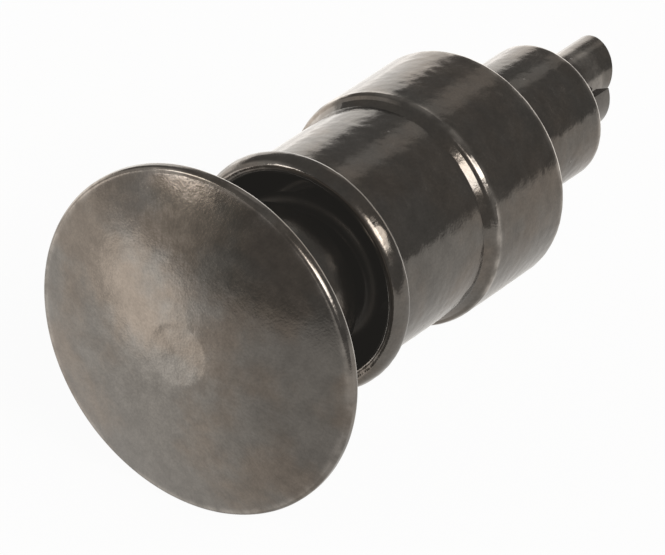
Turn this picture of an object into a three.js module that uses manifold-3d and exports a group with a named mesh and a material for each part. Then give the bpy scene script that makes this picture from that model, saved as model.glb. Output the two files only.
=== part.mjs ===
// Sprung buffer for an H0 (1:87) railway vehicle, in millimetres.
//
// The buffer's axis is Y. The head faces -Y and the mounting spigot points to +Y.
// The origin is the centre of the head's face, and every Y below is measured from that face.
import * as THREE from 'three';
import { mergeVertices } from 'three/addons/utils/BufferGeometryUtils.js';
import Module from 'manifold-3d';

const wasm = await Module();
wasm.setup();

// ---- driving dimensions ----
const ROUND = 72; // facets round the head and the housing
const STEM_ROUND = 40; // facets round the stem

// buffer head
const HEAD_RADIUS = 2.75;
const HEAD_EDGE = 0.2; // thickness of the head at its edge
const HEAD_EDGE_ROUND = 0.07;
const DOME_RADIUS = 8; // radius of curvature of the front face
const CENTRE_FLAT_RADIUS = 0.5; // small flat turned at the middle of the dome
const HEAD_BACK_RISE = 0.16; // the back cones out by this much towards the hub
const HUB_RADIUS = 1.31;
const HUB_END_Y = 2.74;
const HUB_FILLET = 0.22;
const HUB_CHAMFER = 0.06;
const SOCKET_DEPTH = 1.35; // blind hole in the hub that takes the stem

// housing
const LIP_RADIUS = 1.91;
const LIP_FRONT_Y = 2.92;
const LIP_FACE_DEPTH = 0.24; // from the lip's front back to its widest place
const LIP_BACK_ROUND = 0.1;
const MOUTH_RADIUS = 1.77; // where the lip is furthest forward
const MOUTH_DEPTH = 0.32; // the mouth narrows to the bore over this depth
const BORE_RADIUS = 1.58;
const BORE_FLOOR_Y = 6.5;
const BARREL_RADIUS = 1.74;
const COLLAR_RADIUS = 1.89;
const STEP_FRONT_Y = 5.43; // the barrel starts to widen here, first as a chamfer
const CHAMFER_RADIUS = 1.81; // where the chamfer meets a steeper riser
const CHAMFER_END_Y = 5.53;
const RISER_RADIUS = 1.865; // where the riser rounds over
const RISER_END_Y = 5.57;
const STEP_REAR_Y = 5.63; // the collar has its full radius from here
const SHOULDER_Y = 7.4; // the collar's rear face, which seats on the buffer beam
const EDGE_BREAK = 0.05; // small chamfer on the housing's rear edges
const SPIGOT_RADIUS = 1.11;
const SPIGOT_END_Y = 9.68;

// split stem
const STEM_RADIUS = 0.57;
const GUIDE_CLEARANCE = 0.03; // radial, between the stem and the housing's guide hole
const PRESS_GAP = 0.01; // radial, stands in for the press fit in the hub
const BARB_RADIUS = 0.64; // the tail is wider than the guide hole, which holds the plunger in
const BARB_GAP = 0.03; // between the barb's shoulder and the spigot's end
const LONG_LEG_RADIUS = 0.46; // the upper leg is a round rod, slimmer than the barb
const LONG_LEG_OFFSET = 0.16; // from the axis to the middle of the rod
const LONG_LEG_END_Y = 11.25; // its slanted end, measured at the leg's middle
const LONG_LEG_SLANT = 0.34; // radians between that end and a square one
const LONG_LEG_SIDE = 0.83; // radians from level to the side where the leg sits and its end is longest
const SHORT_LEG_END_Y = 10.63;
const SLIT_WIDTH = 0.04; // also the gap between the two legs
const SLIT_FRONT_Y = 5.8;
const SLIT_TILT = 0.33; // radians from level, about the axis
const LEGS_FRONT_Y = 9.8; // the legs take their own shapes from here, behind the barb's shoulder

// coil spring, with plain cut ends
const WIRE_RADIUS = 0.14;
const COIL_RADIUS = 1.14; // to the middle of the wire
const COIL_TURNS = 4;
const COIL_END_GAP = 0.03;
const COIL_START = -1.9; // radians about the axis, from the top, to the end that meets the hub
const WIRE_SIDES = 8;
const STEPS_PER_TURN = 28;

// ---- materials ----
const blackened = (colour, roughness) =>
  new THREE.MeshStandardMaterial({ color: colour, roughness, metalness: 0.9 });
const HEAD_STEEL = blackened(0x4a443e, 0.38);
const HOUSING_STEEL = blackened(0x38332e, 0.32);
const STEM_STEEL = blackened(0x4f4943, 0.36);
const SPRING_STEEL = blackened(0x2c2a28, 0.3);

// ---- helpers ----
const at = (radius, y) => new THREE.Vector2(radius, y);

// Points of an elliptical arc in a profile. Angles are in radians, 0 outwards and PI / 2 rearwards.
function arc(centre, halfRadial, halfAxial, from, to, steps) {
  return Array.from({ length: steps + 1 }, (_, i) => {
    const angle = from + ((to - from) * i) / steps;
    return at(centre.x + halfRadial * Math.cos(angle), centre.y + halfAxial * Math.sin(angle));
  });
}

// A turned piece: its profile leads outwards in front, rearwards outside, and back inwards.
const turned = (profile, facets) => new THREE.LatheGeometry(profile, facets);

function named(name, geometry, material) {
  const mesh = new THREE.Mesh(geometry, material);
  mesh.name = name;
  return mesh;
}

function toSolid(geometry) {
  const bare = geometry.clone();
  bare.deleteAttribute('normal');
  bare.deleteAttribute('uv');
  const merged = mergeVertices(bare, 1e-5);
  const corners = merged.index.array;
  const triangles = [];
  for (let i = 0; i < corners.length; i += 3) {
    const [a, b, c] = corners.slice(i, i + 3);
    if (a !== b && b !== c && c !== a) triangles.push(a, b, c);
  }
  return new wasm.Manifold(new wasm.Mesh({
    numProp: 3,
    vertProperties: new Float32Array(merged.attributes.position.array),
    triVerts: new Uint32Array(triangles),
  }));
}

function toGeometry(solid) {
  const mesh = solid.getMesh();
  const geometry = new THREE.BufferGeometry();
  geometry.setAttribute('position', new THREE.BufferAttribute(mesh.vertProperties, 3));
  geometry.setIndex(new THREE.BufferAttribute(mesh.triVerts, 1));
  geometry.computeVertexNormals();
  return geometry;
}

// ---- pieces ----
// Domed disc with a flat centre and a coned back, and a hub with a blind socket for the stem.
function headGeometry() {
  const front = -Math.PI / 2;
  const roundStart = HEAD_RADIUS - HEAD_EDGE_ROUND;
  const domeCentre = at(0, Math.sqrt(DOME_RADIUS ** 2 - CENTRE_FLAT_RADIUS ** 2));
  const domeStart = front + Math.asin(CENTRE_FLAT_RADIUS / DOME_RADIUS);
  const domeEnd = front + Math.asin(roundStart / DOME_RADIUS);
  const frontEdgeY = domeCentre.y - Math.sqrt(DOME_RADIUS ** 2 - roundStart ** 2);
  const backEdgeY = frontEdgeY + HEAD_EDGE;
  const filletCentre = at(HUB_RADIUS + HUB_FILLET, backEdgeY + HEAD_BACK_RISE + HUB_FILLET);
  const socketRadius = STEM_RADIUS + PRESS_GAP;
  const socketEndY = HUB_END_Y - SOCKET_DEPTH;
  return turned([
    at(0, 0),
    ...arc(domeCentre, DOME_RADIUS, DOME_RADIUS, domeStart, domeEnd, 7).slice(0, -1),
    ...arc(at(roundStart, frontEdgeY + HEAD_EDGE_ROUND), HEAD_EDGE_ROUND, HEAD_EDGE_ROUND, front, 0, 3),
    ...arc(at(roundStart, backEdgeY - HEAD_EDGE_ROUND), HEAD_EDGE_ROUND, HEAD_EDGE_ROUND, 0, -front, 3),
    ...arc(filletCentre, HUB_FILLET, HUB_FILLET, front, -Math.PI, 3),
    at(HUB_RADIUS, HUB_END_Y - HUB_CHAMFER),
    at(HUB_RADIUS - HUB_CHAMFER, HUB_END_Y),
    at(socketRadius, HUB_END_Y),
    at(socketRadius, socketEndY),
    at(0, socketEndY),
  ], ROUND);
}

// Rolled lip, barrel, collar and spigot in one turning, with the spring's bore and the stem's guide hole.
function housingGeometry() {
  const widestY = LIP_FRONT_Y + LIP_FACE_DEPTH;
  const lipBack = at(LIP_RADIUS - LIP_BACK_ROUND, widestY);
  const mouthEnd = at(MOUTH_RADIUS, LIP_FRONT_Y + MOUTH_DEPTH);
  const guideRadius = STEM_RADIUS + GUIDE_CLEARANCE;
  const front = -Math.PI / 2;
  const lipFace = arc(at(MOUTH_RADIUS, widestY), LIP_RADIUS - MOUTH_RADIUS, LIP_FACE_DEPTH, front, 0, 4);
  const mouth = arc(mouthEnd, MOUTH_RADIUS - BORE_RADIUS, MOUTH_DEPTH, -Math.PI, front, 4);
  return turned([
    ...lipFace,
    ...arc(lipBack, LIP_BACK_ROUND, LIP_BACK_ROUND, 0, Math.PI / 2, 3).slice(1),
    at(BARREL_RADIUS, widestY + LIP_BACK_ROUND),
    at(BARREL_RADIUS, STEP_FRONT_Y),
    at(CHAMFER_RADIUS, CHAMFER_END_Y),
    at(RISER_RADIUS, RISER_END_Y),
    at(COLLAR_RADIUS, STEP_REAR_Y),
    at(COLLAR_RADIUS, SHOULDER_Y - EDGE_BREAK),
    at(COLLAR_RADIUS - EDGE_BREAK, SHOULDER_Y),
    at(SPIGOT_RADIUS, SHOULDER_Y),
    at(SPIGOT_RADIUS, SPIGOT_END_Y - EDGE_BREAK),
    at(SPIGOT_RADIUS - EDGE_BREAK, SPIGOT_END_Y),
    at(guideRadius, SPIGOT_END_Y),
    at(guideRadius, BORE_FLOOR_Y),
    at(BORE_RADIUS, BORE_FLOOR_Y),
    ...mouth,
  ], ROUND);
}

// Stem pressed into the hub. Its tail is sawn into two legs, which spring in to pass the guide hole.
// The upper leg is a long round rod. The lower one keeps the barb's radius and is hollowed round the rod.
function stemGeometry() {
  const frontY = HUB_END_Y - SOCKET_DEPTH + BARB_GAP;
  const shoulderY = SPIGOT_END_Y + BARB_GAP;
  const rearY = LONG_LEG_END_Y + BARB_RADIUS;
  const blank = toSolid(turned([
    at(0, frontY),
    at(STEM_RADIUS, frontY),
    at(STEM_RADIUS, shoulderY),
    at(BARB_RADIUS, shoulderY),
    at(BARB_RADIUS, rearY),
    at(0, rearY),
  ], STEM_ROUND));
  const block = 4; // side of the cutting blocks, larger than any cross-section here
  const rodFrontY = LEGS_FRONT_Y + SLIT_WIDTH;
  const legX = -LONG_LEG_OFFSET * Math.cos(LONG_LEG_SIDE);
  const legZ = LONG_LEG_OFFSET * Math.sin(LONG_LEG_SIDE);

  // A rod round the upper leg's middle line, running back from startY.
  const rod = (radius, startY) => {
    const cylinder = new THREE.CylinderGeometry(radius, radius, block, STEM_ROUND);
    cylinder.translate(legX, startY + block / 2, legZ);
    return toSolid(cylinder);
  };
  // A block along the slit, running back from startY, between two heights above the slit's middle.
  const alongSlit = (startY, length, bottom, top) => {
    const box = new THREE.BoxGeometry(block, length, top - bottom);
    box.translate(0, startY + length / 2, (bottom + top) / 2);
    box.rotateY(-SLIT_TILT);
    return toSolid(box);
  };
  const slit = alongSlit(SLIT_FRONT_Y, rodFrontY - SLIT_FRONT_Y, -SLIT_WIDTH / 2, SLIT_WIDTH / 2);
  const insideLeg = rod(LONG_LEG_RADIUS, SHORT_LEG_END_Y - block / 2);
  const aroundRod = alongSlit(rodFrontY, block, -SLIT_WIDTH / 2, block).subtract(insideLeg);
  const belowRod = alongSlit(SHORT_LEG_END_Y, block, -block, 0).subtract(insideLeg);
  const cradle = rod(LONG_LEG_RADIUS + SLIT_WIDTH, LEGS_FRONT_Y)
    .intersect(alongSlit(SLIT_FRONT_Y, 2 * block, -block, 0))
    .subtract(rod(LONG_LEG_RADIUS, rodFrontY));

  const behindSlant = new THREE.BoxGeometry(block, block, block);
  behindSlant.translate(0, block / 2, 0);
  behindSlant.rotateZ(-LONG_LEG_SLANT);
  behindSlant.rotateY(LONG_LEG_SIDE);
  behindSlant.translate(legX, LONG_LEG_END_Y, legZ);

  const cutters = [slit, aroundRod, belowRod, cradle, toSolid(behindSlant)];
  return toGeometry(cutters.reduce((solid, cutter) => solid.subtract(cutter), blank));
}

class Helix extends THREE.Curve {
  constructor(radius, turns, startAngle, startY, endY) {
    super();
    Object.assign(this, { radius, turns, startAngle, startY, endY });
  }

  getPoint(t, target = new THREE.Vector3()) {
    const angle = this.startAngle + t * this.turns * 2 * Math.PI;
    return target.set(
      this.radius * Math.sin(angle),
      this.startY + t * (this.endY - this.startY),
      this.radius * Math.cos(angle),
    );
  }
}

// Right-handed compression spring between the hub's end and the bore's floor.
function springGeometry() {
  const reach = WIRE_RADIUS + COIL_END_GAP;
  const helix = new Helix(COIL_RADIUS, COIL_TURNS, COIL_START, HUB_END_Y + reach, BORE_FLOOR_Y - reach);
  const section = new THREE.Shape(
    arc(at(0, 0), WIRE_RADIUS, WIRE_RADIUS, 0, 2 * Math.PI, WIRE_SIDES).slice(0, -1),
  );
  return new THREE.ExtrudeGeometry(section, {
    steps: COIL_TURNS * STEPS_PER_TURN,
    extrudePath: helix,
  });
}

const group = new THREE.Group();
group.add(
  named('buffer_head', headGeometry(), HEAD_STEEL),
  named('split_stem', stemGeometry(), STEM_STEEL),
  named('coil_spring', springGeometry(), SPRING_STEEL),
  named('housing', housingGeometry(), HOUSING_STEEL),
);

export default group;
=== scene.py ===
import math

import bpy
import numpy as np
from mathutils import Matrix, Vector, noise


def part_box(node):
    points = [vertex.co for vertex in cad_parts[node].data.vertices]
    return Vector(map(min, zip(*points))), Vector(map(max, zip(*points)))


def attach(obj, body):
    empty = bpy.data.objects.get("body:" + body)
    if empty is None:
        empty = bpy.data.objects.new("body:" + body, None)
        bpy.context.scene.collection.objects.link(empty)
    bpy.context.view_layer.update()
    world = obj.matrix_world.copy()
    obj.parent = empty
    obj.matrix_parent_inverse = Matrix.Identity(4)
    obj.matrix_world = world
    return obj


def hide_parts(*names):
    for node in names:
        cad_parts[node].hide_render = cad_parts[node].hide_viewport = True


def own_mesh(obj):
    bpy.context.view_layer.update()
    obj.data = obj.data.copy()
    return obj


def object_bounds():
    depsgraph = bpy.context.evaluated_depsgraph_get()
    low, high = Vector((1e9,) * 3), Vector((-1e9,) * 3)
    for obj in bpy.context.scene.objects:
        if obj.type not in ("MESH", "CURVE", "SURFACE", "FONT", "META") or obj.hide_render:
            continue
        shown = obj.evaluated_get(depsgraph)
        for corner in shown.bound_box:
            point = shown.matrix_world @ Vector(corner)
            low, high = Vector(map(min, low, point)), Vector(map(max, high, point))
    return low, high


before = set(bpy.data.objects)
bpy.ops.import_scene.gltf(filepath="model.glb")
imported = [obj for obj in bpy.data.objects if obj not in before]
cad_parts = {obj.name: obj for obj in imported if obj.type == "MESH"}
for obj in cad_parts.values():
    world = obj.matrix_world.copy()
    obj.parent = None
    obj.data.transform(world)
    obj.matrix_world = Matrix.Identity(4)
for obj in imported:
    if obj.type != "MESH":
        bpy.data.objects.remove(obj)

MM = 0.001
CAD_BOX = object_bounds()

# ---- places taken from the frame ----
head_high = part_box("buffer_head")[1] / MM
stem_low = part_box("split_stem")[0] / MM
spring_low, spring_high = (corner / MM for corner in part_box("coil_spring"))
housing_low, housing_high = (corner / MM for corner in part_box("housing"))

# ---- head ----
HEAD_RADIUS = head_high.x
HUB_END_Y = head_high.y
HEAD_EDGE = 0.2
HEAD_EDGE_ROUND = 0.07
DOME_RADIUS = 8.0
CENTRE_FLAT_RADIUS = 0.5
HEAD_BACK_RISE = 0.16
HUB_RADIUS = 1.31
HUB_FILLET = 0.22
HUB_CHAMFER = 0.06
SOCKET_DEPTH = 1.35
DOME_STEPS = 80
HEAD_EDGE_STEPS = 8
FACING_FRONT = -0.7  # along-axis part of an outward direction that counts as the face

# ---- housing ----
LIP_RADIUS = housing_high.x
LIP_FRONT_Y = housing_low.y
SPIGOT_END_Y = housing_high.y
LIP_FACE_DEPTH = 0.24
LIP_BACK_ROUND = 0.1
MOUTH_RADIUS = 1.77
MOUTH_DEPTH = 0.32
BORE_RADIUS = 1.58
BORE_FLOOR_Y = 6.5
BARREL_RADIUS = 1.74
COLLAR_RADIUS = 1.89
STEP_FRONT_Y = 5.43
CHAMFER_RADIUS = 1.81
CHAMFER_END_Y = 5.53
RISER_RADIUS = 1.865
RISER_END_Y = 5.57
STEP_REAR_Y = 5.63
STEP_EDGE_ROUND = 0.05
SHOULDER_Y = 7.4
SPIGOT_RADIUS = 1.11
REAR_EDGE_ROUND = 0.06
INNER_CORNER_ROUND = 0.025
LIP_STEPS = 14
LIP_BACK_STEPS = 8
MOUTH_STEPS = 16

# ---- stem ----
STEM_FRONT_Y = stem_low.y
STEM_RADIUS = 0.57
GUIDE_CLEARANCE = 0.03
PRESS_GAP = 0.01
BARB_RADIUS = 0.64
BARB_GAP = 0.03
LONG_LEG_RADIUS = 0.46
LONG_LEG_OFFSET = 0.16
LONG_LEG_END_Y = 11.25
LONG_LEG_SLANT = 0.34
LONG_LEG_SIDE = 0.83
LONG_LEG_X = -LONG_LEG_OFFSET * math.cos(LONG_LEG_SIDE)
LONG_LEG_Z = LONG_LEG_OFFSET * math.sin(LONG_LEG_SIDE)
SHORT_LEG_END_Y = 10.63
SLIT_WIDTH = 0.04
SLIT_FRONT_Y = 5.8
SLIT_TILT = 0.33
LEGS_FRONT_Y = 9.8
BARB_EDGE_ROUND = 0.012
STEM_STEP = 0.06  # between rings of the stem
BLOCK = 4.0  # reach of the blocks that saw the stem
BITE = 0.05  # how far joined or sawn pieces reach into each other
WELD_GAP = 0.002  # corners closer than this after sawing are joined
SAWN_CORNER = 0.7  # a corner sharper than this angle between faces is shaded as an edge

# ---- spring ----
WIRE_RADIUS = 0.14
COIL_RADIUS = 1.14
COIL_TURNS = 4
COIL_START = -1.9  # turn at which the wire begins, in radians
WIRE_SIDES = 20
WIRE_STEPS_PER_TURN = 96
WIRE_END_ROUND = 0.03
WIRE_END_SHARE = 0.001  # of the wire's length, taken up by the rounding of an end

# ---- fineness and surface ----
FACETS = 256
STEM_FACETS = 128
FINE_STEP = 0.03  # between rings on a face that shows
ARC_STEPS = 6  # rings round a rounded edge
WEAR_REACH = 0.045  # how far wear spreads from an edge
PIT_HEIGHT = 0.0031  # of the fine unevenness of the blackened skin
PIT_SIZE = 0.12
WAVE_HEIGHT = 0.0022  # of the slow unevenness of a surface
WAVE_SIZE = 0.8

# Small bumps and dents round the middle of the face: x, z, radius, height.
FACE_DENTS = (
    (-0.22, 0.00, 0.15, 0.0050),
    (0.27, -0.27, 0.08, 0.0030),
    (-0.11, -0.60, 0.09, 0.0028),
    (-0.22, 0.34, 0.10, -0.0040),
    (0.50, -0.05, 0.09, -0.0030),
)


# ---- profiles: rows of radius, y, and 1 where the edge gets worn ----
def unit(vector):
    return vector / np.linalg.norm(vector)


def ellipse(centre, half_radial, half_axial, start, end, steps):
    """Points of an elliptical arc. Angles are in radians, 0 outwards and pi / 2 rearwards."""
    angles = np.linspace(start, end, steps + 1)
    return [
        (centre[0] + half_radial * math.cos(a), centre[1] + half_axial * math.sin(a), 0.0)
        for a in angles
    ]


def round_corner(before, corner, after):
    """The arc that rounds off one corner, marked as worn where the corner stands out."""
    here = np.array(corner[:2])
    back = unit(np.array(before[:2]) - here)
    ahead = unit(np.array(after[:2]) - here)
    half = math.acos(np.clip(back @ ahead, -1, 1)) / 2
    centre = here + unit(back + ahead) * corner[2] / math.sin(half)
    first = here + back * corner[2] / math.tan(half) - centre
    last = here + ahead * corner[2] / math.tan(half) - centre
    stands_out = -back[0] * ahead[1] + back[1] * ahead[0] > 0
    shares = np.linspace(0, 1, ARC_STEPS + 1)
    arc = [centre + unit(first * (1 - t) + last * t) * corner[2] for t in shares]
    return [(p[0], p[1], float(stands_out)) for p in arc]


def rounded(corners):
    """A profile from corners of radius, y and rounding."""
    points = []
    for i, corner in enumerate(corners):
        if i in (0, len(corners) - 1) or corner[2] == 0:
            points.append((corner[0], corner[1], 0.0))
        else:
            points += round_corner(corners[i - 1], corner, corners[i + 1])
    return points


def spaced(points, step):
    """The same profile with no gap longer than step between its points."""
    filled = []
    for a, b in zip(points, points[1:]):
        count = max(1, math.ceil(math.dist(a[:2], b[:2]) / step))
        for k in range(count):
            t = k / count
            worn = a[2] if k == 0 else 0.0
            filled.append((a[0] + (b[0] - a[0]) * t, a[1] + (b[1] - a[1]) * t, worn))
    return filled + [points[-1]]


def distance_along(points):
    gaps = [math.dist(a[:2], b[:2]) for a, b in zip(points, points[1:])]
    return np.concatenate(([0.0], np.cumsum(gaps)))


def wear_along(points):
    """How worn each ring is, fading away from the worn edges."""
    distance = distance_along(points)
    worn = distance[np.array([p[2] for p in points]) > 0]
    if len(worn) == 0:
        return np.zeros(len(points))
    nearest = np.abs(distance[:, None] - worn[None, :]).min(axis=1)
    return np.exp(-((nearest / WEAR_REACH) ** 2))


# ---- meshes ----
def surface_height(point, seed, pitted):
    """Fine pitting and a slow unevenness, the same in every direction."""
    shift = Vector((seed, 0, 0))
    pits = noise.noise(point / PIT_SIZE + shift)
    wave = noise.noise(point / WAVE_SIZE + shift)
    return pits * PIT_HEIGHT * pitted + wave * WAVE_HEIGHT


def dent_height(x, z):
    return sum(
        height * math.exp(-((x - dx) ** 2 + (z - dz) ** 2) / radius**2)
        for dx, dz, radius, height in FACE_DENTS
    )


def make_piece(name, vertices, faces, wear):
    mesh = bpy.data.meshes.new(name)
    mesh.from_pydata([tuple(c * MM for c in v) for v in vertices], [], faces)
    mesh.attributes.new("wear", "FLOAT", "POINT").data.foreach_set("value", np.array(wear, np.float32))
    mesh.polygons.foreach_set("use_smooth", [True] * len(mesh.polygons))
    mesh.update()
    piece = bpy.data.objects.new(name, mesh)
    bpy.context.scene.collection.objects.link(piece)
    return piece


def lathe(name, points, facets, seed, pitted=1.0, closed=False, dented=False, middle=(0, 0)):
    """Turns a profile, which leads outwards, rearwards and back in, round Y or a line beside Y."""
    worn = wear_along(points)
    flat = np.array([p[:2] for p in points])
    heading = np.gradient(flat, axis=0)
    outward = np.stack((heading[:, 1], -heading[:, 0]), axis=1)
    outward /= np.linalg.norm(outward, axis=1)[:, None]
    axis = Vector((middle[0], 0, middle[1]))
    vertices, wear, rings = [], [], []
    for (r, y, _), normal, amount in zip(points, outward, worn):
        rings.append(len(vertices))
        for j in range(1 if r == 0 else facets):
            angle = 2 * math.pi * j / facets
            out = Vector((math.sin(angle), 0, math.cos(angle)))
            place = axis + out * r + Vector((0, y, 0))
            height = surface_height(place, seed, pitted)
            if dented and normal[1] < FACING_FRONT and y < HEAD_EDGE:
                height += dent_height(place.x, place.z)
            vertices.append(place + (out * normal[0] + Vector((0, normal[1], 0))) * height)
            wear.append(amount)
    faces = []
    for i in range(len(points) if closed else len(points) - 1):
        a, b = rings[i], rings[(i + 1) % len(points)]
        a_pole, b_pole = points[i][0] == 0, points[(i + 1) % len(points)][0] == 0
        for j in range(facets):
            k = (j + 1) % facets
            if a_pole:
                faces.append((a, b + k, b + j))
            elif b_pole:
                faces.append((a + j, a + k, b))
            else:
                faces.append((a + j, a + k, b + k, b + j))
    return make_piece(name, vertices, faces, wear)


def make_head():
    front = -math.pi / 2
    round_start = HEAD_RADIUS - HEAD_EDGE_ROUND
    dome_centre_y = math.sqrt(DOME_RADIUS**2 - CENTRE_FLAT_RADIUS**2)
    dome_start = front + math.asin(CENTRE_FLAT_RADIUS / DOME_RADIUS)
    dome_end = front + math.asin(round_start / DOME_RADIUS)
    front_edge_y = dome_centre_y - math.sqrt(DOME_RADIUS**2 - round_start**2)
    back_edge_y = front_edge_y + HEAD_EDGE
    socket_radius = STEM_RADIUS + PRESS_GAP
    socket_end_y = HUB_END_Y - SOCKET_DEPTH
    dome = ellipse((0, dome_centre_y), DOME_RADIUS, DOME_RADIUS, dome_start, dome_end, DOME_STEPS)
    edge_centre = (round_start, front_edge_y + HEAD_EDGE_ROUND)
    edge = ellipse(edge_centre, HEAD_EDGE_ROUND, HEAD_EDGE_ROUND, front, 0, HEAD_EDGE_STEPS)
    back_centre = (round_start, back_edge_y - HEAD_EDGE_ROUND)
    back_edge = ellipse(back_centre, HEAD_EDGE_ROUND, HEAD_EDGE_ROUND, 0, -front, HEAD_EDGE_STEPS)
    rim = [(r, y, 1.0) for r, y, _ in edge + back_edge]
    back = rounded([
        back_edge[-1],
        (HUB_RADIUS, back_edge_y + HEAD_BACK_RISE, HUB_FILLET),
        (HUB_RADIUS, HUB_END_Y, HUB_CHAMFER),
        (socket_radius, HUB_END_Y, INNER_CORNER_ROUND),
        (socket_radius, socket_end_y, INNER_CORNER_ROUND),
        (0, socket_end_y, 0),
    ])
    points = spaced([(0, 0, 0.0)] + dome[:-1] + rim + back[1:], FINE_STEP)
    return lathe("domed_head", points, FACETS, seed=3.1, pitted=0.3, dented=True)


def make_housing():
    front = -math.pi / 2
    widest_y = LIP_FRONT_Y + LIP_FACE_DEPTH
    lip_width = LIP_RADIUS - MOUTH_RADIUS
    lip = ellipse((MOUTH_RADIUS, widest_y), lip_width, LIP_FACE_DEPTH, front, 0, LIP_STEPS)
    back_centre = (LIP_RADIUS - LIP_BACK_ROUND, widest_y)
    lip_back = ellipse(back_centre, LIP_BACK_ROUND, LIP_BACK_ROUND, 0, -front, LIP_BACK_STEPS)
    mouth_centre = (MOUTH_RADIUS, LIP_FRONT_Y + MOUTH_DEPTH)
    mouth_width = MOUTH_RADIUS - BORE_RADIUS
    mouth = ellipse(mouth_centre, mouth_width, MOUTH_DEPTH, -math.pi, front, MOUTH_STEPS)
    guide_radius = STEM_RADIUS + GUIDE_CLEARANCE
    outside = rounded([
        lip_back[-1],
        (BARREL_RADIUS, widest_y + LIP_BACK_ROUND, INNER_CORNER_ROUND),
        (BARREL_RADIUS, STEP_FRONT_Y, INNER_CORNER_ROUND),
        (CHAMFER_RADIUS, CHAMFER_END_Y, INNER_CORNER_ROUND),
        (RISER_RADIUS, RISER_END_Y, 0),
        (COLLAR_RADIUS, STEP_REAR_Y, STEP_EDGE_ROUND),
        (COLLAR_RADIUS, SHOULDER_Y, REAR_EDGE_ROUND),
        (SPIGOT_RADIUS, SHOULDER_Y, INNER_CORNER_ROUND),
        (SPIGOT_RADIUS, SPIGOT_END_Y, REAR_EDGE_ROUND),
        (guide_radius, SPIGOT_END_Y, INNER_CORNER_ROUND),
        (guide_radius, BORE_FLOOR_Y, INNER_CORNER_ROUND),
        (BORE_RADIUS, BORE_FLOOR_Y, INNER_CORNER_ROUND),
        mouth[0],
    ])
    points = lip[:-1] + lip_back[:-1] + outside[:-1] + mouth
    return lathe("turned_housing", spaced(points, FINE_STEP)[:-1], FACETS, seed=7.7, closed=True)


def cutting_block(low, high, turns, place=(0, 0, 0)):
    """A box for sawing the stem, turned about the axes given in order and then moved."""
    corners = [
        Vector((x, y, z))
        for x in (low[0], high[0])
        for y in (low[1], high[1])
        for z in (low[2], high[2])
    ]
    for axis, angle in turns:
        corners = [Matrix.Rotation(angle, 3, axis) @ corner for corner in corners]
    corners = [corner + Vector(place) for corner in corners]
    faces = [(0, 1, 3, 2), (4, 6, 7, 5), (0, 4, 5, 1), (2, 3, 7, 6), (0, 2, 6, 4), (1, 5, 7, 3)]
    block = make_piece("cutting_block", corners, faces, [0.0] * len(corners))
    block.data.polygons.foreach_set("use_smooth", [False] * len(faces))
    return block


def along_slit(front_y, rear_y, bottom, top):
    """A cutting block along the slit, between two heights above the slit's middle."""
    return cutting_block((-BLOCK, front_y, bottom), (BLOCK, rear_y, top), [("Y", -SLIT_TILT)])


def apply_modifiers(piece):
    bpy.context.view_layer.update()
    shown = piece.evaluated_get(bpy.context.evaluated_depsgraph_get())
    mesh = bpy.data.meshes.new_from_object(shown)
    piece.modifiers.clear()
    piece.data = mesh


def combine(piece, operation, others):
    """Cuts the other pieces out of this one, or joins them to it, and removes them."""
    for other in others:
        step = piece.modifiers.new("combine", "BOOLEAN")
        step.operation = operation
        step.solver = "EXACT"
        step.object = other
    apply_modifiers(piece)
    for other in others:
        bpy.data.objects.remove(other)


def make_leg_rod(radius, front_y, rear_y):
    """A rod round the upper leg's middle line."""
    profile = spaced([(0, front_y, 0), (radius, front_y, 0), (radius, rear_y, 0), (0, rear_y, 0)], STEM_STEP)
    middle = (LONG_LEG_X, LONG_LEG_Z)
    return lathe("leg_rod", profile, STEM_FACETS, seed=9.4, pitted=0.7, middle=middle)


def make_stem():
    """A turned blank, sawn into a short leg below, with the long leg joined on above."""
    rear_y = LONG_LEG_END_Y + BARB_RADIUS
    shoulder_y = SPIGOT_END_Y + BARB_GAP
    half = SLIT_WIDTH / 2
    rod_front_y = LEGS_FRONT_Y + SLIT_WIDTH
    blank = rounded([
        (0, STEM_FRONT_Y, 0),
        (STEM_RADIUS, STEM_FRONT_Y, INNER_CORNER_ROUND),
        (STEM_RADIUS, shoulder_y, 0),
        (BARB_RADIUS, shoulder_y, BARB_EDGE_ROUND),
        (BARB_RADIUS, rear_y, 0),
        (0, rear_y, 0),
    ])
    stem = lathe("sawn_stem", spaced(blank, STEM_STEP), STEM_FACETS, seed=5.3, pitted=0.7)

    cradle = make_leg_rod(LONG_LEG_RADIUS + SLIT_WIDTH, LEGS_FRONT_Y, rear_y + BITE)
    combine(cradle, "DIFFERENCE", [along_slit(0, 2 * rear_y, 0, BLOCK)])
    combine(stem, "DIFFERENCE", [
        along_slit(SLIT_FRONT_Y, rod_front_y + BITE, -half, half),
        along_slit(rod_front_y, 2 * rear_y, -half, BLOCK),
        along_slit(SHORT_LEG_END_Y, 2 * rear_y, -BLOCK, 0),
        cradle,
    ])

    long_leg = make_leg_rod(LONG_LEG_RADIUS, rod_front_y - BITE, rear_y)
    combine(long_leg, "DIFFERENCE", [
        along_slit(0, rod_front_y, -BLOCK, half + BITE),
        cutting_block(
            (-BLOCK, 0, -BLOCK), (BLOCK, BLOCK, BLOCK),
            [("Z", -LONG_LEG_SLANT), ("Y", LONG_LEG_SIDE)], (LONG_LEG_X, LONG_LEG_END_Y, LONG_LEG_Z),
        ),
    ])
    combine(stem, "UNION", [long_leg])

    weld = stem.modifiers.new("weld", "WELD")
    weld.merge_threshold = WELD_GAP * MM
    triangles = stem.modifiers.new("triangles", "TRIANGULATE")
    triangles.quad_method = "BEAUTY"
    apply_modifiers(stem)
    stem.data.set_sharp_from_angle(angle=SAWN_CORNER)
    return stem


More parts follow.
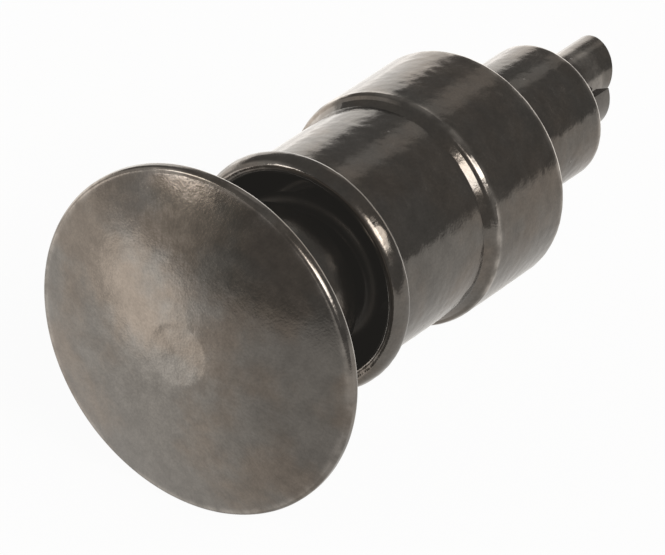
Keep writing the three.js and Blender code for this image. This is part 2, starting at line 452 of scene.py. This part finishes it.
def make_wire():
    """The wire from end to end: share of its length, and thickness there, with rounded ends."""
    total = COIL_TURNS * WIRE_STEPS_PER_TURN
    cut = WIRE_RADIUS - WIRE_END_ROUND
    full = [WIRE_END_SHARE] + [i / total for i in range(1, total)] + [1 - WIRE_END_SHARE]
    return [(0.0, 0.0), (0.0, cut)] + [(share, WIRE_RADIUS) for share in full] + [(1.0, cut), (1.0, 0.0)]


def make_spring():
    start_y, end_y = spring_low.y + WIRE_RADIUS, spring_high.y - WIRE_RADIUS
    vertices, faces, wear = [], [], []
    rise = (end_y - start_y) / (COIL_TURNS * 2 * math.pi)
    for share, thick in make_wire():
        turn = COIL_START + share * COIL_TURNS * 2 * math.pi
        out = Vector((math.sin(turn), 0, math.cos(turn)))
        ahead = Vector((math.cos(turn) * COIL_RADIUS, rise, -math.sin(turn) * COIL_RADIUS)).normalized()
        side = ahead.cross(out)
        middle = Vector((0, start_y + share * (end_y - start_y), 0)) + out * COIL_RADIUS
        if thick == 0:
            vertices.append(tuple(middle))
            wear.append(1.0)
            continue
        for k in range(WIRE_SIDES):
            angle = 2 * math.pi * k / WIRE_SIDES
            vertices.append(tuple(middle + (out * math.cos(angle) + side * math.sin(angle)) * thick))
            wear.append(0.0)
    last = len(vertices) - 1
    last_ring = last - 1 - WIRE_SIDES
    for k in range(WIRE_SIDES):
        side, beside = 1 + k, 1 + (k + 1) % WIRE_SIDES
        faces.append((0, beside, side))
        for start in range(0, last_ring, WIRE_SIDES):
            after = start + WIRE_SIDES
            faces.append((start + side, start + beside, after + beside, after + side))
        faces.append((last, last_ring + side, last_ring + beside))
    return make_piece("wound_spring", vertices, faces, wear)


# ---- materials ----
BROWN = (1.17, 1.0, 0.85)
BLUE_GREY = (1.07, 1.0, 0.92)
# Sizes of the patterns, as features per millimetre.
PATCH_SCALE = 0.75
BLOTCH_SCALE = 3.2
GRAIN_SCALE = 26.0
MARKS_SCALE = 14.0
SPECK_SCALE = 2.6
GRAIN_HEIGHT = 0.0016
BLOTCH_CONTRAST = 0.14
GRAIN_CONTRAST = 0.12
DUST_SHARE = 0.55
DUST_ROUGHNESS = 0.3


class Nodes:
    """Short calls for building a node tree. A value may be a number, a tuple or another node's output."""

    def __init__(self, tree):
        self.tree = tree
        tree.nodes.clear()

    def add(self, kind, inputs=(), **settings):
        node = self.tree.nodes.new(kind)
        for key, value in settings.items():
            setattr(node, key, value)
        for socket, value in dict(inputs).items():
            if isinstance(value, bpy.types.NodeSocket):
                self.tree.links.new(value, node.inputs[socket])
            else:
                node.inputs[socket].default_value = value
        return node

    def math(self, operation, a, b=0.0):
        return self.add("ShaderNodeMath", {0: a, 1: b}, operation=operation).outputs[0]

    def vector(self, operation, a, b=(0, 0, 0)):
        node = self.add("ShaderNodeVectorMath", {0: a, 1: b}, operation=operation)
        scalar = operation in ("DOT_PRODUCT", "LENGTH")
        return node.outputs["Value" if scalar else "Vector"]

    def noise(self, vector, scale, detail=3.0, roughness=0.55):
        inputs = {"Vector": vector, "Scale": scale, "Detail": detail, "Roughness": roughness}
        return self.add("ShaderNodeTexNoise", inputs).outputs["Fac"]

    def ramp(self, value, low, high, to_low=0.0, to_high=1.0):
        inputs = {"Value": value, "From Min": low, "From Max": high, "To Min": to_low, "To Max": to_high}
        return self.add("ShaderNodeMapRange", inputs, interpolation_type="SMOOTHSTEP").outputs[0]

    def mix(self, share, a, b):
        node = self.add("ShaderNodeMix", data_type="RGBA")
        for socket, value in ((node.inputs[0], share), (node.inputs[6], a), (node.inputs[7], b)):
            if isinstance(value, bpy.types.NodeSocket):
                self.tree.links.new(value, socket)
            else:
                socket.default_value = value
        return node.outputs[2]


def grey(level, warmth=0.0):
    return (level * (1 + warmth), level, level * (1 - warmth), 1.0)


def tinted(level, red, green, blue):
    return (level * red, level * green, level * blue, 1.0)


BARE_METAL = grey(0.42, 0.08)
DUST = grey(0.34, 0.06)


def blackened_steel(name, level, roughness, turning, worn_share, patch_share=0.14):
    """Oil-blackened steel: brown and blue-grey patches, turning marks, fine grain, dust, worn edges."""
    material = bpy.data.materials.new(name)
    material.use_nodes = True
    n = Nodes(material.node_tree)
    place = n.add("ShaderNodeTexCoord").outputs["Object"]
    place = n.vector("MULTIPLY", place, (1 / MM, 1 / MM, 1 / MM))
    parts = n.add("ShaderNodeSeparateXYZ", {0: place})
    across = n.add("ShaderNodeCombineXYZ", {0: parts.outputs[0], 2: parts.outputs[2]}).outputs[0]
    ring = n.math("ADD", parts.outputs[1], n.vector("LENGTH", across))
    ring_place = n.add("ShaderNodeCombineXYZ", {0: ring}).outputs[0]

    marks = n.noise(ring_place, MARKS_SCALE, detail=2.0)
    patches = n.noise(place, PATCH_SCALE, detail=4.0)
    blotches = n.noise(place, BLOTCH_SCALE, detail=5.0, roughness=0.6)
    grain = n.noise(place, GRAIN_SCALE)
    brown = tinted(level, *BROWN)
    blue = tinted(level, *BLUE_GREY)
    colour = n.mix(n.ramp(patches, 0.5 - patch_share, 0.5 + patch_share), brown, blue)
    shade = n.math(
        "MULTIPLY",
        n.ramp(blotches, 0.25, 0.75, 1 - BLOTCH_CONTRAST, 1 + BLOTCH_CONTRAST),
        n.ramp(grain, 0.2, 0.8, 1 - GRAIN_CONTRAST, 1 + GRAIN_CONTRAST),
    )
    colour = n.add("ShaderNodeVectorMath", {0: colour, "Scale": shade}, operation="SCALE").outputs[0]

    wear = n.add("ShaderNodeAttribute", attribute_name="wear").outputs["Fac"]
    worn = n.math("MULTIPLY", wear, n.ramp(blotches, 0.35, 0.65, 0.2 * worn_share, worn_share))
    colour = n.mix(worn, colour, BARE_METAL)

    specks = n.add("ShaderNodeTexVoronoi", {"Vector": place, "Scale": SPECK_SCALE, "Randomness": 1.0})
    chosen = n.add("ShaderNodeSeparateColor", {0: specks.outputs["Color"]}).outputs[0]
    dust = n.math(
        "MULTIPLY",
        n.ramp(specks.outputs["Distance"], 0.075, 0.03),
        n.ramp(chosen, 0.80, 0.86),
    )
    colour = n.mix(n.math("MULTIPLY", dust, DUST_SHARE), colour, DUST)

    gloss = n.math("ADD", n.ramp(grain, 0.2, 0.8, -0.02, 0.02), n.ramp(blotches, 0.3, 0.7, -0.02, 0.03))
    gloss = n.math("ADD", gloss, n.math("MULTIPLY", dust, DUST_ROUGHNESS))
    gloss = n.math("ADD", gloss, roughness)

    bump_marks = n.add("ShaderNodeBump", {"Strength": 1.0, "Distance": turning * MM, "Height": marks})
    bump_grain = n.add(
        "ShaderNodeBump",
        {"Strength": 1.0, "Distance": GRAIN_HEIGHT * MM, "Height": grain, "Normal": bump_marks.outputs[0]},
    )
    finish = n.add(
        "ShaderNodeBsdfPrincipled",
        {
            "Base Color": colour,
            "Metallic": 1.0,
            "Roughness": gloss,
            "Normal": bump_grain.outputs[0],
        },
    )
    n.add("ShaderNodeOutputMaterial", {0: finish.outputs[0]})
    return material


def white_floor():
    """Nearly plain white to the camera, with a trace of the object's shadow, and see-through from below."""
    material = bpy.data.materials.new("pale_floor")
    material.use_nodes = True
    n = Nodes(material.node_tree)
    plain = n.add("ShaderNodeEmission", {"Color": grey(1.0), "Strength": 1.0})
    lit = n.add("ShaderNodeBsdfDiffuse", {"Color": grey(0.9)})
    top = n.add("ShaderNodeMixShader", {0: FLOOR_SHADOW_SHARE, 1: plain.outputs[0], 2: lit.outputs[0]})
    clear = n.add("ShaderNodeBsdfTransparent")
    below = n.add("ShaderNodeNewGeometry").outputs["Backfacing"]
    both = n.add("ShaderNodeMixShader", {0: below, 1: top.outputs[0], 2: clear.outputs[0]})
    n.add("ShaderNodeOutputMaterial", {0: both.outputs[0]})
    return material


# ---- studio ----
# Soft sources seen in the metal: azimuth from the head's front towards +X, elevation, half width, half height
# (all in degrees), softness of the edge, brightness.
SOFT_SOURCES = (
    (-42, -20, 10, 11, 0.20, 1.2),  # pool of light on the table in front
    (-58, -10, 32, 48, 0.28, 0.65),  # pale wall and table in front on the left
    (-34, 14, 6, 9, 0.15, 7.0),  # lamp in front
    (63, 31, 15, 12, 0.12, 6.5),  # high lamp
    (60, 30, 26, 18, 0.30, 0.8),  # its glow
    (96, 31, 24, 10, 0.15, 4.0),  # long lamp beside it
    (-98, 2, 24, 13, 0.40, 1.8),  # pale wall on the left
    (-141, 7, 26, 15, 0.10, 1.3),  # pale wall behind on the left
    (-141, -20, 26, 12, 0.30, 0.5),  # brighter table below it
    (180, 4, 30, 28, 0.10, 1.0),  # pale wall straight behind
    (-170, 42, 8, 7, 0.35, 0.35),  # small far window
)
DARK_ROOM = 0.22
TABLE_LIGHT = 0.80
WARM_LIGHT = (1.03, 1.0, 0.96, 1.0)
TABLE_EDGE_AZIMUTH = 35
TABLE_EDGE_FRONT = -0.26  # sine of the elevation where the table ends, ahead on the right
TABLE_EDGE_BACK = -0.05
FLOOR_HALF_WIDTH = 400
FLOOR_SHADOW_SHARE = 0.05


def direction(azimuth, elevation):
    a, e = math.radians(azimuth), math.radians(elevation)
    return Vector((math.sin(a) * math.cos(e), -math.cos(a) * math.cos(e), math.sin(e)))


def share_of_half(n, ray, side, half_angle):
    """How far a ray lies to one side, as a share of a source's half angle."""
    return n.math("DIVIDE", n.vector("DOT_PRODUCT", ray, tuple(side)), math.sin(math.radians(half_angle)))


def soft_source(n, ray, azimuth, elevation, half_width, half_height, softness, brightness):
    centre = direction(azimuth, elevation)
    right = direction(azimuth + 90, 0)
    up = right.cross(centre)
    if up.z < 0:
        up.negate()
    across = share_of_half(n, ray, right, half_width)
    above = share_of_half(n, ray, up, half_height)
    squares = n.math("ADD", n.math("MULTIPLY", across, across), n.math("MULTIPLY", above, above))
    inside = n.ramp(n.math("SQRT", squares), 1 + softness, 1 - softness)
    ahead = n.math("GREATER_THAN", n.vector("DOT_PRODUCT", ray, tuple(centre)), 0.0)
    return n.math("MULTIPLY", n.math("MULTIPLY", inside, ahead), brightness)


def make_world():
    world = bpy.data.worlds.new("studio")
    world.use_nodes = True
    bpy.context.scene.world = world
    n = Nodes(world.node_tree)
    ray = n.vector("NORMALIZE", n.add("ShaderNodeTexCoord").outputs["Generated"])
    height = n.add("ShaderNodeSeparateXYZ", {0: ray}).outputs[2]
    towards = n.ramp(n.vector("DOT_PRODUCT", ray, tuple(direction(TABLE_EDGE_AZIMUTH, 0))), -0.5, 0.8)
    edge = n.math("ADD", n.math("MULTIPLY", towards, TABLE_EDGE_FRONT - TABLE_EDGE_BACK), TABLE_EDGE_BACK)
    table = n.ramp(n.math("SUBTRACT", edge, height), -0.02, 0.03)
    light = n.math("ADD", n.math("MULTIPLY", table, TABLE_LIGHT - DARK_ROOM), DARK_ROOM)
    for source in SOFT_SOURCES:
        light = n.math("ADD", light, soft_source(n, ray, *source))
    background = n.add("ShaderNodeBackground", {"Color": WARM_LIGHT, "Strength": light})
    n.add("ShaderNodeOutputWorld", {0: background.outputs[0]})


def make_floor(level):
    size = FLOOR_HALF_WIDTH * MM
    mesh = bpy.data.meshes.new("floor")
    corners = [(-size, -size, level), (size, -size, level), (size, size, level), (-size, size, level)]
    mesh.from_pydata(corners, [], [(0, 1, 2, 3)])
    floor = bpy.data.objects.new("floor", mesh)
    bpy.context.scene.collection.objects.link(floor)
    floor.data.materials.append(white_floor())
    floor.visible_glossy = False
    floor.visible_diffuse = False


# ---- camera: angles in degrees, aim and distance in millimetres ----
CAMERA_AZIMUTH = 34.4
CAMERA_ELEVATION = 27.4
CAMERA_DISTANCE = 110.6
CAMERA_LENS = 404
CAMERA_AIM = (0.211, 3.668, -0.249)
SENSOR_WIDTH = 36
CLIP_NEAR = 5
CLIP_FAR = 2000
LIFTED_BLACK = (-0.013, -0.0122, -0.011)


def make_camera():
    lens = bpy.data.cameras.new("camera")
    lens.lens = CAMERA_LENS
    lens.sensor_width = SENSOR_WIDTH
    lens.clip_start, lens.clip_end = CLIP_NEAR * MM, CLIP_FAR * MM
    camera = bpy.data.objects.new("camera", lens)
    bpy.context.scene.collection.objects.link(camera)
    back = direction(CAMERA_AZIMUTH, CAMERA_ELEVATION)
    camera.location = (Vector(CAMERA_AIM) + back * CAMERA_DISTANCE) * MM
    camera.rotation_euler = (-back).to_track_quat("-Z", "Y").to_euler()
    bpy.context.scene.camera = camera


def show_as_photographed(settings):
    """Plain colours, with the darkest tones lifted a little as a lens does against a white table."""
    settings.view_transform = "Standard"
    settings.use_curve_mapping = True
    settings.curve_mapping.black_level = LIFTED_BLACK
    settings.curve_mapping.update()


# ---- assembly ----
def dress(piece, material, node, body):
    piece.data.materials.clear()
    piece.data.materials.append(material)
    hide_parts(node)
    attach(piece, body)


HEAD_STEEL = blackened_steel("head_steel", 0.118, 0.155, turning=0, worn_share=0.25, patch_share=0.10)
HOUSING_STEEL = blackened_steel("housing_steel", 0.120, 0.12, turning=0.0002, worn_share=0.8)
STEM_STEEL = blackened_steel("stem_steel", 0.124, 0.16, turning=0.0002, worn_share=0.4)
# Painted shade: the spring's base level is set near black, far below the other steel, so that the coils read
# as the dark inside of the mouth.
SHADED_SPRING_STEEL = blackened_steel("spring_steel", 0.020, 0.45, turning=0, worn_share=0.2)

dress(make_head(), HEAD_STEEL, "buffer_head", "plunger")
dress(make_stem(), STEM_STEEL, "split_stem", "plunger")
dress(make_housing(), HOUSING_STEEL, "housing", "housing")

spring = make_spring()
dress(spring, SHADED_SPRING_STEEL, "coil_spring", "spring")
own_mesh(spring)

make_world()
make_floor(CAD_BOX[0].z)
make_camera()
show_as_photographed(bpy.context.scene.view_settings)
